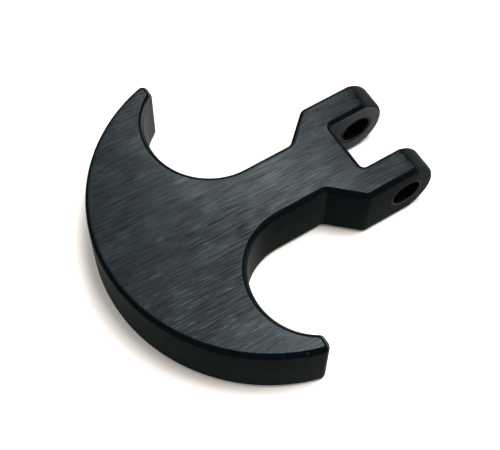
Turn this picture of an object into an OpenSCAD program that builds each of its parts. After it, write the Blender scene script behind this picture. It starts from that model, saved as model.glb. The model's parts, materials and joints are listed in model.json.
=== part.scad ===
// Crescent clevis lever: a thick half-moon blade on a short straight stem. The stem widens
// through two sloping shoulders into a clevis of two ears, and each ear holds a thin sleeve bush.
// Millimetres. The origin is the centre of the pin bore, midway between the ears.
// +X runs from the blade towards the clevis, +Y along the pin and +Z out of the brushed face.

/* [Plate] */
// Thickness of the plate, the same in the blade, the stem and the ears
plate_t = 14; // [11:0.5:15]

/* [Blade] */
// Radius of the round blank, which is the outer edge of the crescent
blade_r = 35; // [34.5:0.5:42]
// Distance from the pin to the centre of the round blank
blade_reach = 24.9; // [22.4:0.1:25.4]
// Radius of the two hollows between the horns and the stem
hollow_r = 13; // [11:0.25:13.5]
// Distance from the pin to the centres of the hollows
hollow_reach = 26.4; // [25.4:0.1:27.4]
// Distance from the pin to the blunt ends of the horns
horn_reach = 32.9; // [31.9:0.1:34.9]

/* [Stem and shoulders] */
// Width of the stem
stem_w = 12.5; // [10:0.25:14]
// Distance from the pin to the foot of the shoulders, where they leave the stem
shoulder_foot = 15.9; // [14.4:0.1:18.4]
// Distance from the pin to the top of the shoulders, where they meet the ears
shoulder_top = 9.65; // [8.4:0.05:11.4]

/* [Clevis] */
// Width over both ears
clevis_w = 24; // [20:0.5:26]
// Width of the slot between the ears
slot_w = 11.2; // [8:0.1:12]
// Distance from the pin to the floor of the slot
slot_floor = 6.9; // [6.2:0.1:7.9]
// Radius of the two corners at the floor of the slot
slot_corner_r = 1; // [0.5:0.1:2]
// Radius of the rounded ends of the ears, a little more than half the thickness of the plate
nose_r = 7.5; // [7.5:0.1:9]
// Distance from the pin to the rounded ends of the ears
nose_reach = 6.5; // [5.6:0.1:7.6]

/* [Sleeve bushes] */
// Bore of the bushes, which the pin passes through
pin_bore_d = 6.4; // [5:0.1:8]
// Wall thickness of the bushes
bush_wall = 0.5; // [0.3:0.1:1]

/* [Hidden] */

// Facets of a full circle
$fn = 128;
// How far a cut runs past the face that it goes through
past = 1;

body_colour = [0.20, 0.23, 0.25];
bush_colour = [0.13, 0.14, 0.15];

ear_w = (clevis_w - slot_w) / 2;
ear_mid_y = (clevis_w + slot_w) / 4;
bush_d = pin_bore_d + 2 * bush_wall;
hollow_side = stem_w / 2 + hollow_r;
blade_back = blade_reach + blade_r;

// What is cut from one side of the round blank: a round hollow that runs out along the stem,
// up the shoulder and past the ear, and square across the end of the horn
module side_cut() {
    stem_y = stem_w / 2;
    ear_y = clevis_w / 2;
    translate([-hollow_reach, hollow_side]) circle(r = hollow_r);
    polygon([
        [-hollow_reach, stem_y],
        [-shoulder_foot, stem_y],
        [-shoulder_top, ear_y],
        [blade_r, ear_y],
        [blade_r, blade_r + past],
        [-horn_reach, blade_r + past],
        [-horn_reach, hollow_side],
        [-hollow_reach, hollow_side]
    ]);
}

// Slot between the ears, with two round corners at its floor
module slot() {
    length = slot_floor + blade_r;
    corner_y = slot_w / 2 - slot_corner_r;
    translate([-slot_floor + slot_corner_r, -slot_w / 2]) square([length - slot_corner_r, slot_w]);
    translate([-slot_floor, -corner_y]) square([length, 2 * corner_y]);
    for (side = [-1, 1])
        translate([-slot_floor + slot_corner_r, side * corner_y]) circle(r = slot_corner_r);
}

// Outline seen from above: a round blank with both sides and the slot cut away
module plan_outline() {
    difference() {
        translate([-blade_reach, 0]) circle(r = blade_r);
        for (flip = [0, 1])
            mirror([0, flip]) side_cut();
        slot();
    }
}

// Outline seen from the side: a flat plate with a rounded end at the clevis
module side_outline() {
    nose_x = nose_reach - nose_r;
    start = -blade_back - past;
    intersection() {
        translate([start, -plate_t / 2]) square([nose_reach + past - start, plate_t]);
        union() {
            translate([start, -nose_r]) square([nose_x - start, 2 * nose_r]);
            translate([nose_x, 0]) circle(r = nose_r);
        }
    }
}

// Blade, stem, shoulders and ears, which are one piece of plate
module crescent_body() {
    color(body_colour) difference() {
        intersection() {
            translate([0, 0, -plate_t / 2]) linear_extrude(plate_t) plan_outline();
            rotate([90, 0, 0]) linear_extrude(2 * blade_r + 2 * past, center = true) side_outline();
        }
        rotate([90, 0, 0]) cylinder(d = bush_d, h = clevis_w + 2 * past, center = true);
    }
}

// Sleeve bush in the ear on one side, flush with both faces of the ear
module ear_bush(side) {
    color(bush_colour) translate([0, side * ear_mid_y, 0]) rotate([90, 0, 0]) difference() {
        cylinder(d = bush_d, h = ear_w, center = true);
        cylinder(d = pin_bore_d, h = ear_w + 2 * past, center = true);
    }
}

crescent_body();
ear_bush(1);  // left_ear_bush
ear_bush(-1);  // right_ear_bush
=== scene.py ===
"""Looks of the crescent clevis lever: the rounded plate, its two sleeve bushes, the brushed black
finish, and a small bright studio. Lengths are metres in the part's own frame: the origin is the
centre of the pin bore, +X runs towards the clevis, +Y along the pin and +Z out of the brushed face.
Left is the side at +Y and right is the side at -Y."""

import json
import math

import bmesh
import bpy
from mathutils import Matrix, Vector


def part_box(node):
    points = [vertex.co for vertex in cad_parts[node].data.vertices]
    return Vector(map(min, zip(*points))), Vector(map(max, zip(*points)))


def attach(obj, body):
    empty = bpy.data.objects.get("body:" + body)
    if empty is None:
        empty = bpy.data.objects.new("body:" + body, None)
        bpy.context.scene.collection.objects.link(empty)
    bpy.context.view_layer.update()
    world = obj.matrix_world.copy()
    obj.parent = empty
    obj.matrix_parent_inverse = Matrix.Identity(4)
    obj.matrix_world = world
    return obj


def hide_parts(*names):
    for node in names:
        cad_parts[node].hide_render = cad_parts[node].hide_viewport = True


MM = 0.001

# Plan of the plate, as in the part's own source
BLADE_R = 35 * MM
HOLLOW_R = 13 * MM
HOLLOW_REACH = 26.4 * MM
HORN_REACH = 32.9 * MM
STEM_HALF = 6.25 * MM
SHOULDER_FOOT = 15.9 * MM
SHOULDER_TOP = 9.65 * MM
SLOT_FLOOR = 6.9 * MM
NOSE_R = 7.5 * MM

# Rounding, most of which the plain solids leave out
EDGE_R = 1.1 * MM
HORN_CORNER_R = 1.3 * MM
SHOULDER_TOP_R = 1.8 * MM
SHOULDER_FOOT_R = 1.6 * MM
SLOT_CORNER_R = 1.0 * MM
# Size of the bevel on both sides of the seam between a bush and its ear
SEAM = 0.08 * MM
LIP_R = 0.27 * MM

# Fineness of the mesh
ARC_STEP = math.radians(2.5)
CORNER_STEP = math.radians(9)
EDGE_STEPS = 6
NOSE_STEPS = 48
LIP_STEPS = 5
BORE_FACETS = 96
SAME_POINT = 0.01 * MM
LARGE_FACE_WEIGHT = 100
# Place of the wall's lower end, middle and upper end in a column of vertices
WALL_LOW = EDGE_STEPS
WALL_MIDDLE = EDGE_STEPS + 1
WALL_HIGH = EDGE_STEPS + 2

# Brushing: its direction, the place in the noise, and where it ends at the edges and on the ears
BRUSH_TURN = math.radians(-1.5)
BRUSH_SEED = 0.058
BRUSH_TILT = math.radians(10)
# Painted highlight: the brushed colour and sheen reach further round the +Y and -X edges
PAINTED_SHEEN_LEAN = (-0.12, 0.17, 1.0)
BRUSH_SOFT = 0.004
BRUSH_RAGGED = 0.02
BRUSH_END = 1.35 * MM
BRUSH_END_SOFT = 0.15 * MM
BRUSH_FRAY = 2.6 * MM
BRUSH_JITTER = (1.2 * MM, 0.35 * MM)
BRUSH_BLOTCH = 1.1 * MM

# Strokes of the brushing, each with its length and width, and what they add to the tone
NOISE_SPAN = (0.3, 0.7)
BRUSHED_TONE = 0.9
FINE_STROKE = (4.5 * MM, 0.14 * MM)
FINE_DEPTH = 0.36
STREAK = (14 * MM, 0.4 * MM)
STREAK_DEPTH = 0.14
SCRATCH = (3.5 * MM, 0.22 * MM)
SCRATCH_CUT = (0.58, 0.72)
SCRATCH_TONE = (0.08, 0.8)
WORN_PATCH = 5 * MM
WORN_CUT = (0.42, 0.68)
WORN_TONE = 0.25
# A darker area of the brushed face round the root of the stem
ROOT_DARK_AT = (-35.4 * MM, -7 * MM, 7 * MM)
ROOT_DARK_REACH = (3 * MM, 17 * MM)
ROOT_DARK_DEPTH = 0.34
# Painted highlight: the brushed face grows lighter towards the right horn
HORN_HIGHLIGHT_Y = (-18 * MM, -25 * MM)
HORN_HIGHLIGHT_TONE = 0.15
BRUSHED_TINT = (0.0045, 0.0070, 0.0085)
BRUSHED_ROUGHNESS = 0.21
BRUSHED_SHEEN = 0.2

# Satin walls, with painted shade under the upper edge and painted light towards the floor
WALL_DARK = (0.0012, 0.0024, 0.0032, 1)
WALL_LIGHT = (0.0036, 0.0078, 0.0072, 1)
WALL_SPREAD = (-0.1, 1.2)
WALL_ROUGHNESS = 0.4
WALL_SHEEN = 0.004
SHEEN_TINT = (0.86, 0.96, 1.0, 1)
MOTTLE = 0.7 * MM
MOTTLE_DEPTH = 0.35

# Painted light on the walls: where they lie, which way they face, and how strong it is from end to
# end
WALL_PAINTED_LIGHT = (0.052, 0.057, 0.057, 1)
CHEEK_FACING = (0.8, 0.95)
CHEEK_Y = (8 * MM, 10 * MM)
CHEEK_PAINTED_LIGHT = (1, 0.02)
CHEEK_X = (-22 * MM, 6.5 * MM)
HORN_FACING = (0.3, 0.5)
HORN_Y = (20 * MM, 29 * MM)
HORN_PAINTED_LIGHT = (0.12, 0.75)
NOSE_X = (1.1 * MM, 2.6 * MM)
NOSE_PAINTED_LIGHT = (0, 0.15)

# Dust and the fine relief of the metal
DUST = (0.05, 0.052, 0.05, 1)
DUST_SPACING = 1.3 * MM
DUST_SPECK = (0.10, 0.22)
DUST_SHARE = 0.16
DUST_STRENGTH = 0.5
RELIEF_DEPTH = 0.02 * MM
RELIEF_STRENGTH = 0.3
MOTTLE_RELIEF = 0.25

# Bushes
BUSH_DARK = (0.0007, 0.001, 0.001, 1)
BUSH_LIGHT = (0.0015, 0.0018, 0.0018, 1)
BUSH_GRAIN = (2 * MM, 0.3 * MM)
BUSH_ROUGHNESS = 0.5
BUSH_SHEEN = 0.03
BUSH_RELIEF = 0.01 * MM
# Painted highlight on the rounded lips of the bushes
LIP_HIGHLIGHT = (0.021, 0.022, 0.0215, 1)
LIP_STARTS = (0.05, 0.3)
LIP_ENDS = (0.9, 0.99)

# Floor, room and lights
FLOOR_REACH = 1.5
FLOOR_DARK = (0.84, 0.79, 0.735, 1)
FLOOR_LIGHT = (0.87, 0.82, 0.765, 1)
FLOOR_PATCH = 0.2
FLOOR_ROUGHNESS = 0.9
FLOOR_SHEEN = 0.1
ROOM = (0.75, 0.75, 0.75, 1)
KEY_AT = (0.175, 0.10, 0.60)
KEY_SIZE = (0.09, 0.66)
KEY_POWER = 1.85
FILL_AT = (0.20, -0.07, 1.2)
FILL_SIZE = (0.34, 0.34)
FILL_POWER = 14
SIDE_AT = (0.50, -0.12, 0.30)
SIDE_SIZE = (0.3, 0.3)
SIDE_POWER = 1.3

# Camera: direction of view, distance, lens and the point on the floor that it looks at
CAMERA_AZIMUTH = math.radians(-33.26)
CAMERA_ELEVATION = math.radians(60.93)
CAMERA_ROLL = math.radians(1.244)
CAMERA_DISTANCE = 232.3 * MM
CAMERA_LENS = 83.15
CAMERA_SENSOR = 36.0
CAMERA_AIM = (-28.0 * MM, 1.49 * MM)
CAMERA_RANGE = (0.01, 10)

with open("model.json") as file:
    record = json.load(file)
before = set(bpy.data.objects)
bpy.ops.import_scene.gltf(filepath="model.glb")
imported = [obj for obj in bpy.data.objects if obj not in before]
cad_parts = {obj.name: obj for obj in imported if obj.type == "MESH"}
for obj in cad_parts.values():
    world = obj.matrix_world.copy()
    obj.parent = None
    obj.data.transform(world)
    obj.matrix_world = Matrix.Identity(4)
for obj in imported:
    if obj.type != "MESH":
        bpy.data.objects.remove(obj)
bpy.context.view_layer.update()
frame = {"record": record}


def cad_sizes():
    """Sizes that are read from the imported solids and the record."""
    ear_low, ear_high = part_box("left_ear_bush")
    low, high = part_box("crescent_body")
    pin_bore = next(m for m in frame["record"]["mounts"] if m["name"] == "pin_bore")
    return {
        "blade_reach": -low.x - BLADE_R,
        "nose_reach": high.x,
        "half_t": (high.z - low.z) / 2,
        "slot_half": ear_low.y,
        "clevis_half": ear_high.y,
        "bush_r": (ear_high.z - ear_low.z) / 2,
        "pin_r": pin_bore["dims"]["r_mm"] * MM,
        "floor_z": low.z,
    }


SIZES = cad_sizes()


# ---------------------------------------------------------------- outline

def arc(centre, radius, start, end, step=ARC_STEP, void_inside=False):
    """Points on an arc from angle start to end, each with the normal that points out of the metal.
    void_inside is for a hollow, where the metal lies outside the circle."""
    count = max(2, math.ceil(abs(end - start) / step))
    sign = -1 if void_inside else 1
    rows = []
    for i in range(count + 1):
        angle = start + (end - start) * i / count
        out = Vector((math.cos(angle), math.sin(angle)))
        rows.append((Vector(centre) + out * radius, out * sign))
    return rows


def corner(before, at, after, radius):
    """Rounded corner between two straight edges, walked with the metal on the right."""
    back = (Vector(before) - Vector(at)).normalized()
    ahead = (Vector(after) - Vector(at)).normalized()
    half = back.angle(ahead) / 2
    centre = Vector(at) + (back + ahead).normalized() * radius / math.sin(half)
    start = Vector(at) + back * radius / math.tan(half)
    convex = back.x * ahead.y - back.y * ahead.x > 0
    turn = math.pi - 2 * half
    first = math.atan2(start.y - centre.y, start.x - centre.x)
    last = first - turn if convex else first + turn
    return arc(centre, radius, first, last, CORNER_STEP, void_inside=not convex)


def merged(rows):
    """Drops a point that repeats the one before it."""
    kept = [rows[0]]
    for point, normal in rows[1:]:
        if (point - kept[-1][0]).length > SAME_POINT:
            kept.append((point, normal))
    return kept


def outer_half():
    """Outline of the left half, from the apex of the blade round the horn, the hollow, the stem and
    the shoulder to the ear's outer side beside the pin. The metal is on the right."""
    ear_y = SIZES["clevis_half"]
    blade = Vector((-SIZES["blade_reach"], 0))
    hollow = Vector((-HOLLOW_REACH, STEM_HALF + HOLLOW_R))
    horn_x = -HORN_REACH - HORN_CORNER_R
    outer_y = math.sqrt((BLADE_R - HORN_CORNER_R) ** 2 - (horn_x - blade.x) ** 2)
    inner_y = hollow.y + math.sqrt((HOLLOW_R + HORN_CORNER_R) ** 2 - (horn_x - hollow.x) ** 2)
    outer_angle = math.atan2(outer_y, horn_x - blade.x)
    inner_angle = math.atan2(inner_y - hollow.y, horn_x - hollow.x)
    stem_start = (hollow.x, STEM_HALF)
    foot = (-SHOULDER_FOOT, STEM_HALF)
    top = (-SHOULDER_TOP, ear_y)
    beside_pin = (0, ear_y)
    rows = arc(blade, BLADE_R, math.pi, outer_angle)
    rows += arc((horn_x, outer_y), HORN_CORNER_R, outer_angle, 0, CORNER_STEP)
    rows += arc((horn_x, inner_y), HORN_CORNER_R, 0, inner_angle - math.pi, CORNER_STEP)
    rows += arc(hollow, HOLLOW_R, inner_angle, math.radians(270), void_inside=True)
    rows += corner(stem_start, foot, top, SHOULDER_FOOT_R)
    rows += corner(foot, top, beside_pin, SHOULDER_TOP_R)
    rows.append((Vector(beside_pin), Vector((0, 1))))
    return merged(rows)


def slot_half():
    """Outline of the left half of the slot, from the middle of its floor to the ear's inner side
    beside the pin."""
    y = SIZES["slot_half"]
    centre = (-SLOT_FLOOR + SLOT_CORNER_R, y - SLOT_CORNER_R)
    rows = [(Vector((-SLOT_FLOOR, 0)), Vector((1, 0)))]
    rows += arc(centre, SLOT_CORNER_R, math.pi, math.pi / 2, CORNER_STEP, void_inside=True)
    rows.append((Vector((0, y)), Vector((0, -1))))
    return merged(rows)


def both_sides(half):
    """A half outline and its mirror image as one run, from the right ear to the left ear."""
    flipped = [(Vector((p.x, -p.y)), Vector((n.x, -n.y))) for p, n in reversed(half)]
    return merged(flipped + half)


# ---------------------------------------------------------------- plate

def edge_profile():
    """Inset and height of each ring of a rounded edge, from the wall up to the flat face."""
    rows = []
    for k in range(EDGE_STEPS + 1):
        angle = math.radians(90) * k / EDGE_STEPS
        inset = EDGE_R * (1 - math.cos(angle))
        rows.append((inset, SIZES["half_t"] - EDGE_R * (1 - math.sin(angle))))
    return rows


def ring_heights():
    """Inset and height of every ring of the plate's wall, from the lower face to the upper one."""
    upper = edge_profile()
    lower = [(inset, -z) for inset, z in reversed(upper)]
    return lower + [(0.0, 0.0)] + upper


def loft(mesh, run):
    """Vertices that follow a run of outline: a list of columns, each from low to high."""
    rings = ring_heights()
    columns = []
    for point, normal in run:
        column = []
        for inset, z in rings:
            at = point - normal * inset
            column.append(mesh.verts.new((at.x, at.y, z)))
        columns.append(column)
    return columns


def strip(mesh, a, b, skip=()):
    """Faces between two columns of vertices, apart from the rows in skip."""
    for k in range(len(a) - 1):
        if k not in skip:
            mesh.faces.new((a[k], b[k], b[k + 1], a[k + 1]))


def skin(mesh, columns):
    """Faces between neighbouring columns. The first and the last stretch run along an ear, whose
    flat side is left out because ear_side makes it round the bore."""
    along_ears = (0, len(columns) - 2)
    for i, (a, b) in enumerate(zip(columns, columns[1:])):
        strip(mesh, a, b, skip=(WALL_LOW, WALL_MIDDLE) if i in along_ears else ())


def circle_verts(mesh, radius, y):
    """Vertices of a circle round the pin axis, from +X towards +Z."""
    made = []
    for i in range(BORE_FACETS):
        angle = 2 * math.pi * i / BORE_FACETS
        made.append(mesh.verts.new((radius * math.cos(angle), y, radius * math.sin(angle))))
    return made


def join_rings(mesh, rings):
    """Faces between each circle of vertices and the next."""
    for a, b in zip(rings, rings[1:]):
        for i in range(BORE_FACETS):
            j = (i + 1) % BORE_FACETS
            mesh.faces.new((a[i], a[j], b[j], b[i]))


def nose_point(height, share):
    """Place along X and Z of a vertex on the rounded end of an ear. height is its height on the
    flat part, share runs from 0 where the rounding starts above to 1 where it ends below."""
    radius = NOSE_R - SIZES["half_t"] + height
    turn = math.asin(height / radius) * (1 - 2 * share)
    return SIZES["nose_reach"] - NOSE_R + radius * math.cos(turn), radius * math.sin(turn)


def nose(mesh, inner, outer):
    """Rounded end of an ear: the upper half of its section, carried round to the lower half.
    inner and outer are the columns beside the pin on the ear's two sides. Returns the run of
    sections, each from the ear's inner side over the end to its outer side."""
    first = inner[WALL_HIGH:] + outer[:WALL_MIDDLE:-1]
    last = inner[WALL_LOW::-1] + outer[:WALL_MIDDLE]
    run = [first]
    for i in range(NOSE_STEPS + 1):
        turned = []
        for vert in first:
            x, z = nose_point(vert.co.z, i / NOSE_STEPS)
            turned.append(mesh.verts.new((x, vert.co.y, z)))
        run.append(turned)
    run.append(last)
    for a, b in zip(run, run[1:]):
        strip(mesh, a, b)
    return run


def ear_side(mesh, far, round_nose, mouth):
    """Flat side of an ear as two faces that meet at the height of the pin. far is the column at
    the end away from the nose, round_nose runs round the nose from top to bottom, and mouth is the
    bore's rim."""
    half_nose = len(round_nose) // 2
    half_rim = len(mouth) // 2
    above = [far[WALL_MIDDLE], far[WALL_HIGH]] + round_nose[:half_nose + 1]
    above += mouth[:half_rim + 1]
    below = [far[WALL_MIDDLE]] + mouth[half_rim:] + [mouth[0]]
    below += round_nose[half_nose:] + [far[WALL_LOW]]
    mesh.faces.new(above)
    mesh.faces.new(below)


def ear_end(mesh, inner, outer):
    """Rounded end, flat sides and bore of one ear. inner and outer are its two sides, each as the
    column beside the pin and the next column away from the nose."""
    run = nose(mesh, inner[0], outer[0])
    inner_y, outer_y = inner[0][WALL_LOW].co.y, outer[0][WALL_LOW].co.y
    into_ear = math.copysign(SEAM, outer_y - inner_y)
    rims = []
    for side, y, inset, place in ((inner, inner_y, into_ear, 0), (outer, outer_y, -into_ear, -1)):
        mouth = circle_verts(mesh, SIZES["bush_r"] + SEAM, y)
        ear_side(mesh, side[1], [section[place] for section in run], mouth)
        rims.append((mouth, circle_verts(mesh, SIZES["bush_r"], y + inset)))
    join_rings(mesh, [*rims[0], *reversed(rims[1])])


def build_plate():
    """Blade, stem, shoulders and ears as one closed mesh with rounded edges."""
    mesh = bmesh.new()
    outer = loft(mesh, both_sides(outer_half()))
    slot = loft(mesh, both_sides(slot_half()))
    skin(mesh, outer)
    skin(mesh, slot)
    for k in (0, -1):
        mesh.faces.new([c[k] for c in outer] + [c[k] for c in reversed(slot)])
    ear_end(mesh, slot[:2], outer[:2])
    ear_end(mesh, slot[:-3:-1], outer[:-3:-1])
    return finished(mesh, "crescent_plate")


def new_object(mesh, name):
    """Turns a bmesh into an object of the scene."""
    data = bpy.data.meshes.new(name)
    mesh.to_mesh(data)
    mesh.free()
    made = bpy.data.objects.new(name, data)
    bpy.context.scene.collection.objects.link(made)
    return made


def finished(mesh, name):
    """Turns a closed bmesh into a smooth-shaded object whose large faces still look flat."""
    bmesh.ops.recalc_face_normals(mesh, faces=mesh.faces)
    for face in mesh.faces:
        face.smooth = True
    piece = new_object(mesh, name)
    weighted = piece.modifiers.new("flat faces stay flat", "WEIGHTED_NORMAL")
    weighted.keep_sharp = True
    weighted.weight = LARGE_FACE_WEIGHT
    return piece


# ---------------------------------------------------------------- bushes

def build_bush(name, node):
    """Thin sleeve: a profile turned about the pin axis, with a rounded lip at both mouths."""
    low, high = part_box(node)
    profile = [(SIZES["bush_r"], low.y + SEAM), (SIZES["bush_r"] - SEAM, low.y)]
    for i in range(LIP_STEPS + 1):
        angle = math.radians(90) * i / LIP_STEPS
        radius = SIZES["pin_r"] + LIP_R * (1 - math.sin(angle))
        profile.append((radius, low.y + LIP_R * (1 - math.cos(angle))))
    profile += [(radius, low.y + high.y - y) for radius, y in reversed(profile)]
    mesh = bmesh.new()
    rings = [circle_verts(mesh, radius, y) for radius, y in profile]
    join_rings(mesh, rings + rings[:1])
    return finished(mesh, name)


# ---------------------------------------------------------------- material nodes

def put(tree, socket, value):
    """Feeds an input from another node's socket, or gives it a constant."""
    if isinstance(value, bpy.types.NodeSocket):
        tree.links.new(value, socket)
    else:
        socket.default_value = value


def wire(tree, kind, *values, **settings):
    """Adds a node with its settings, and puts the values on its first inputs."""
    node = tree.nodes.new(kind)
    for name, setting in settings.items():
        setattr(node, name, setting)
    for socket, value in zip(node.inputs, values):
        put(tree, socket, value)
    return node


def math_node(tree, operation, *values):
    """Result of one arithmetic operation."""
    return wire(tree, "ShaderNodeMath", *values, operation=operation).outputs[0]


def times(tree, a, b):
    """Product of two values."""
    return math_node(tree, "MULTIPLY", a, b)


def total(tree, first, *others):
    """Sum of several values."""
    for value in others:
        first = math_node(tree, "ADD", first, value)
    return first


def ramp(tree, value, low, high, to_low=0.0, to_high=1.0):
    """Smooth step of a value from low to high, scaled to run from to_low to to_high."""
    node = wire(tree, "ShaderNodeMapRange", interpolation_type="SMOOTHSTEP")
    put(tree, node.inputs["Value"], value)
    put(tree, node.inputs["From Min"], low)
    put(tree, node.inputs["From Max"], high)
    put(tree, node.inputs["To Min"], to_low)
    put(tree, node.inputs["To Max"], to_high)
    return node.outputs["Result"]


def swing(tree, noise, depth):
    """A noise, most of which lies in NOISE_SPAN, as a swing of that depth to both sides of 0."""
    return ramp(tree, noise, *NOISE_SPAN, -depth, depth)


def blend(tree, factor, a, b):
    """Mix of two colours: a where the factor is 0 and b where it is 1."""
    node = wire(tree, "ShaderNodeMix", factor, data_type="RGBA")
    for socket, value in zip((s for s in node.inputs if s.type == "RGBA"), (a, b)):
        put(tree, socket, value)
    return next(s for s in node.outputs if s.type == "RGBA")


def parts(tree, vector):
    """The X, Y and Z of a vector."""
    return wire(tree, "ShaderNodeSeparateXYZ", vector).outputs


def grain(tree, coordinates, length, width, detail=2.0):
    """Noise drawn out into strokes of a length and width in metres, which run along X."""
    mapping = wire(tree, "ShaderNodeMapping", coordinates)
    put(tree, mapping.inputs["Scale"], (1 / length, 1 / width, 1 / width))
    noise = tree.nodes.new("ShaderNodeTexNoise")
    put(tree, noise.inputs["Vector"], mapping.outputs[0])
    put(tree, noise.inputs["Scale"], 1.0)
    put(tree, noise.inputs["Detail"], detail)
    return noise.outputs[0]


def bump(tree, shader, height, distance, strength=1.0):
    """Relief of a shader, with its greatest depth in metres."""
    node = tree.nodes.new("ShaderNodeBump")
    put(tree, node.inputs["Strength"], strength)
    put(tree, node.inputs["Distance"], distance)
    put(tree, node.inputs["Height"], height)
    put(tree, shader.inputs["Normal"], node.outputs[0])


def new_material(name):
    """A material with its tree, its shader, and the place and normal of each point of the piece."""
    material = bpy.data.materials.new(name)
    material.use_nodes = True
    tree = material.node_tree
    outputs = tree.nodes.new("ShaderNodeTexCoord").outputs
    return material, tree, tree.nodes["Principled BSDF"], outputs["Object"], outputs["Normal"]


# ---------------------------------------------------------------- materials

def brushed_area(tree, position, normal, along):
    """1 on the brushed face and 0 on the walls, with a ragged border. The lean vector carries the
    brushed colour and sheen further round the edges towards +Y and -X than round the others, as a
    painted highlight on those edges."""
    jitter = math_node(tree, "SUBTRACT", grain(tree, along, *BRUSH_JITTER, detail=3), 0.5)
    # painted highlight on the +Y and -X edges
    lean = wire(tree, "ShaderNodeVectorMath", normal, PAINTED_SHEEN_LEAN, operation="DOT_PRODUCT")
    level = total(tree, lean.outputs["Value"], times(tree, jitter, BRUSH_RAGGED))
    edge = math.cos(BRUSH_TILT)
    flat = ramp(tree, level, edge - BRUSH_SOFT, edge + BRUSH_SOFT)
    speckle = grain(tree, position, BRUSH_BLOTCH, BRUSH_BLOTCH, detail=3)
    blotch = math_node(tree, "SUBTRACT", speckle, 0.5)
    end = total(tree, parts(tree, position)[0], times(tree, blotch, BRUSH_FRAY))
    return times(tree, flat, ramp(tree, end, BRUSH_END, BRUSH_END + BRUSH_END_SOFT, 1, 0))


def brushed_tone(tree, position, along, fine, scratches):
    """Lightness of the brushed face, about 1: its strokes, its patches of wear, a darker area where
    the stem meets the blade, and a painted highlight on the right horn."""
    streaks = grain(tree, along, *STREAK)
    patches = grain(tree, along, WORN_PATCH, WORN_PATCH, detail=3)
    wear_and_lip_highlight = ramp(tree, patches, *WORN_CUT)
    from_root = wire(tree, "ShaderNodeVectorMath", position, ROOT_DARK_AT, operation="DISTANCE")
    return total(
        tree,
        swing(tree, fine, FINE_DEPTH),
        BRUSHED_TONE,
        swing(tree, streaks, STREAK_DEPTH),
        times(tree, wear_and_lip_highlight, WORN_TONE),
        times(tree, scratches, ramp(tree, wear_and_lip_highlight, 0, 1, *SCRATCH_TONE)),
        # darker round the root of the stem
        ramp(tree, from_root.outputs["Value"], *ROOT_DARK_REACH, -ROOT_DARK_DEPTH, 0),
        # painted highlight on the right horn
        ramp(tree, parts(tree, position)[1], *HORN_HIGHLIGHT_Y, 0, HORN_HIGHLIGHT_TONE),
    )


def painted_light_area(tree, position, normal):
    """How far the walls are painted pale as painted light: on the sides that face along Y, mostly in
    the slot, on the insides of the horns and on the ends of the ears."""
    x, y, _ = parts(tree, position)
    facing_x, facing_y, _ = parts(tree, normal)
    across = math_node(tree, "ABSOLUTE", y)
    sideways = ramp(tree, math_node(tree, "ABSOLUTE", facing_y), *CHEEK_FACING)
    cheek = times(tree, sideways, ramp(tree, across, *CHEEK_Y, *CHEEK_PAINTED_LIGHT))
    cheek = times(tree, cheek, ramp(tree, x, *CHEEK_X))
    horn = times(tree, ramp(tree, across, *HORN_Y, *HORN_PAINTED_LIGHT), ramp(tree, facing_x, *HORN_FACING))
    # painted light: pale where the lamps and the floor light the walls
    painted_light = math_node(tree, "MAXIMUM", cheek, horn)
    return math_node(tree, "MAXIMUM", painted_light, ramp(tree, x, *NOSE_X, *NOSE_PAINTED_LIGHT))


def dust(tree, position):
    """Small specks: 1 inside a speck and 0 elsewhere."""
    cells = tree.nodes.new("ShaderNodeTexVoronoi")
    put(tree, cells.inputs["Scale"], 1 / DUST_SPACING)
    put(tree, cells.inputs["Vector"], position)
    near = ramp(tree, cells.outputs["Distance"], *DUST_SPECK, 1, 0)
    return times(tree, near, math_node(tree, "LESS_THAN", cells.outputs["Color"], DUST_SHARE))


def wall_colour(tree, position, normal, mottle):
    """Satin wall colour: painted shade at the upper edge, mottled, painted light in places, and
    dusty.
    """
    # painted shade: the walls darken towards the upper edge and lighten towards the floor
    painted_shade_by_height = ramp(tree, parts(tree, position)[2], SIZES["half_t"], -SIZES["half_t"])
    pale = total(tree, painted_shade_by_height, swing(tree, mottle, MOTTLE_DEPTH))
    plain = blend(tree, ramp(tree, pale, *WALL_SPREAD), WALL_DARK, WALL_LIGHT)
    # painted light: the walls are painted paler where they are lit
    painted_light = blend(tree, painted_light_area(tree, position, normal), plain, WALL_PAINTED_LIGHT)
    return blend(tree, times(tree, dust(tree, position), DUST_STRENGTH), painted_light, DUST)


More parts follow.
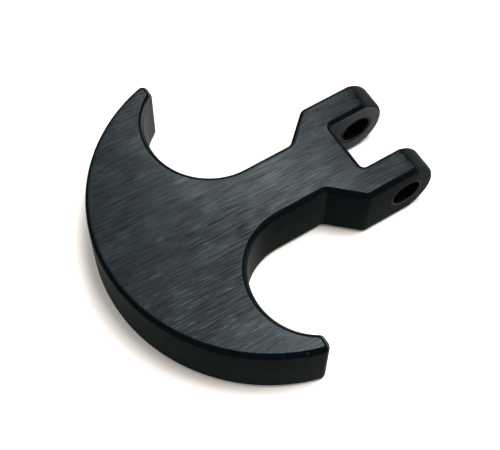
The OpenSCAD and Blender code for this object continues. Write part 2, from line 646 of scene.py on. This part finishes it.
def black_metal():
    """Black metal, satin all over, with one face brushed along X."""
    material, tree, shader, position, normal = new_material("black_metal")
    turned = wire(tree, "ShaderNodeMapping", position)
    put(tree, turned.inputs["Rotation"], (0, 0, -BRUSH_TURN))
    put(tree, turned.inputs["Location"], (0, 0, BRUSH_SEED))
    along = turned.outputs[0]
    fine = grain(tree, along, *FINE_STROKE)
    scratches = ramp(tree, grain(tree, along, *SCRATCH, detail=1), *SCRATCH_CUT)
    mottle = grain(tree, position, MOTTLE, MOTTLE, detail=4)

    brushed = brushed_area(tree, position, normal, along)
    tone = brushed_tone(tree, position, along, fine, scratches)
    face = wire(tree, "ShaderNodeVectorMath", BRUSHED_TINT, operation="SCALE")
    put(tree, face.inputs["Scale"], tone)
    wall = wall_colour(tree, position, normal, mottle)
    colour = blend(tree, brushed, wall, face.outputs[0])
    roughness = ramp(tree, brushed, 0, 1, WALL_ROUGHNESS, BRUSHED_ROUGHNESS)
    sheen = times(tree, ramp(tree, brushed, 0, 1, 0, BRUSHED_SHEEN), tone)
    strokes = times(tree, brushed, total(tree, fine, scratches))
    relief = total(tree, strokes, times(tree, mottle, MOTTLE_RELIEF))

    put(tree, shader.inputs["Base Color"], colour)
    put(tree, shader.inputs["Roughness"], roughness)
    put(tree, shader.inputs["Specular IOR Level"], math_node(tree, "MAXIMUM", sheen, WALL_SHEEN))
    put(tree, shader.inputs["Specular Tint"], SHEEN_TINT)
    bump(tree, shader, relief, RELIEF_DEPTH, RELIEF_STRENGTH)
    return material


def bush_polymer():
    """Dark satin plastic with a faint grain, painted paler on the rounded lips as a painted
    highlight.
    """
    material, tree, shader, position, normal = new_material("bush_polymer")
    strokes = grain(tree, position, *BUSH_GRAIN)
    slope = math_node(tree, "ABSOLUTE", parts(tree, normal)[1])
    # painted highlight on the rounded lips
    wear_and_lip_highlight = times(tree, ramp(tree, slope, *LIP_STARTS), ramp(tree, slope, *LIP_ENDS, 1, 0))
    plain = blend(tree, strokes, BUSH_DARK, BUSH_LIGHT)
    put(tree, shader.inputs["Base Color"], blend(tree, wear_and_lip_highlight, plain, LIP_HIGHLIGHT))
    put(tree, shader.inputs["Roughness"], BUSH_ROUGHNESS)
    put(tree, shader.inputs["Specular IOR Level"], BUSH_SHEEN)
    bump(tree, shader, strokes, BUSH_RELIEF)
    return material


def floor_material():
    """Pale warm floor with very faint large patches."""
    material, tree, shader, position, _ = new_material("studio_floor")
    shade = grain(tree, position, FLOOR_PATCH, FLOOR_PATCH)
    put(tree, shader.inputs["Base Color"], blend(tree, shade, FLOOR_DARK, FLOOR_LIGHT))
    put(tree, shader.inputs["Roughness"], FLOOR_ROUGHNESS)
    put(tree, shader.inputs["Specular IOR Level"], FLOOR_SHEEN)
    return material


# ---------------------------------------------------------------- studio

def build_floor():
    """Square floor at the height of the plate's lower face."""
    mesh = bmesh.new()
    corners = ((-1, -1), (1, -1), (1, 1), (-1, 1))
    z = SIZES["floor_z"]
    mesh.faces.new([mesh.verts.new((x * FLOOR_REACH, y * FLOOR_REACH, z)) for x, y in corners])
    floor = new_object(mesh, "floor")
    floor.data.materials.append(floor_material())


def build_camera():
    """Camera that looks down on the part from the right side of its blade."""
    data = bpy.data.cameras.new("camera")
    data.lens = CAMERA_LENS
    data.sensor_width = CAMERA_SENSOR
    data.clip_start, data.clip_end = CAMERA_RANGE
    camera = bpy.data.objects.new("camera", data)
    bpy.context.scene.collection.objects.link(camera)
    back = Vector((
        math.sin(CAMERA_AZIMUTH) * math.cos(CAMERA_ELEVATION),
        -math.cos(CAMERA_AZIMUTH) * math.cos(CAMERA_ELEVATION),
        math.sin(CAMERA_ELEVATION),
    ))
    right = Vector((math.cos(CAMERA_AZIMUTH), math.sin(CAMERA_AZIMUTH), 0))
    turn = Matrix((right, back.cross(right), back)).transposed().to_4x4()
    aim = Vector((*CAMERA_AIM, SIZES["floor_z"]))
    place = Matrix.Translation(aim + back * CAMERA_DISTANCE)
    camera.matrix_world = place @ turn @ Matrix.Rotation(CAMERA_ROLL, 4, "Z")
    bpy.context.scene.camera = camera


def area_light(name, at, size, power, facing=(0, 0, -1)):
    """Soft box that faces straight down unless told otherwise, with its size along X and along Y."""
    data = bpy.data.lights.new(name, "AREA")
    data.shape = "RECTANGLE"
    data.size, data.size_y = size
    data.energy = power
    light = bpy.data.objects.new(name, data)
    bpy.context.scene.collection.objects.link(light)
    light.location = at
    light.rotation_mode = "QUATERNION"
    light.rotation_quaternion = Vector(facing).to_track_quat("-Z", "Y")


def build_room():
    """Evenly lit room round the stage."""
    world = bpy.data.worlds.new("studio")
    world.use_nodes = True
    world.node_tree.nodes["Background"].inputs["Color"].default_value = ROOM
    bpy.context.scene.world = world


def build_studio():
    """Floor, room and lights: a long key that the brushed face mirrors, a small overhead fill that
    casts the shadow, and a weak light from the clevis end."""
    build_floor()
    area_light("key", KEY_AT, KEY_SIZE, KEY_POWER)
    area_light("fill", FILL_AT, FILL_SIZE, FILL_POWER)
    area_light("side", SIDE_AT, SIDE_SIZE, SIDE_POWER, facing=-Vector(SIDE_AT))
    build_room()
    bpy.context.scene.view_settings.view_transform = "Standard"


# ---------------------------------------------------------------- assembly

plate = build_plate()
plate.data.materials.append(black_metal())
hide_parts("crescent_body")
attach(plate, "root")

polymer = bush_polymer()
for side in ("left", "right"):
    bush = build_bush(side + "_sleeve", side + "_ear_bush")
    bush.data.materials.append(polymer)
    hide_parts(side + "_ear_bush")
    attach(bush, "root")

build_studio()
build_camera()
